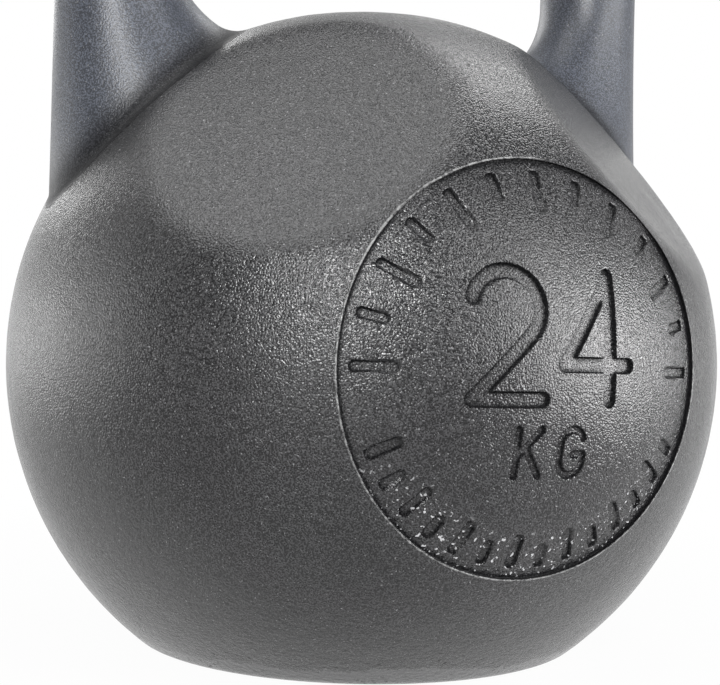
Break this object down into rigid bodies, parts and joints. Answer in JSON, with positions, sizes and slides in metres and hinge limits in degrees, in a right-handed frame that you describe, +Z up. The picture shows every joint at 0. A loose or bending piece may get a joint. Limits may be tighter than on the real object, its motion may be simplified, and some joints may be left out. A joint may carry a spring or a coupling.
{
  "type": "kettlebell",
  "caption": "Competition-size kettlebell: a hollow ball with shoulder flats, a round panel and a flat base, and a round-bar handle on two flared, welded feet.",
  "frame": {"origin": "middle of the flat base, on the floor", "axes": "+Z up through the grip, +X along the handle, and the round panel faces -Y"},
  "size_m": [0.2098, 0.2087, 0.28],
  "materials": {
    "bell_coat": "dark grey powder coat over a sand-cast surface",
    "handle_coat": "dark grey powder coat over smooth steel",
    "ballast_fill": "set cement fill, dull",
    "plug_steel": "turned steel, dull",
    "washer_rubber": "black rubber"
  },
  "bodies": {
    "root": {"bell_shell": "bell_coat", "handle": "handle_coat", "left_weld": "handle_coat", "right_weld": "handle_coat", "ballast_core": "ballast_fill", "base_plug": "plug_steel", "plug_washer": "washer_rubber"}
  },
  "joints": []
}
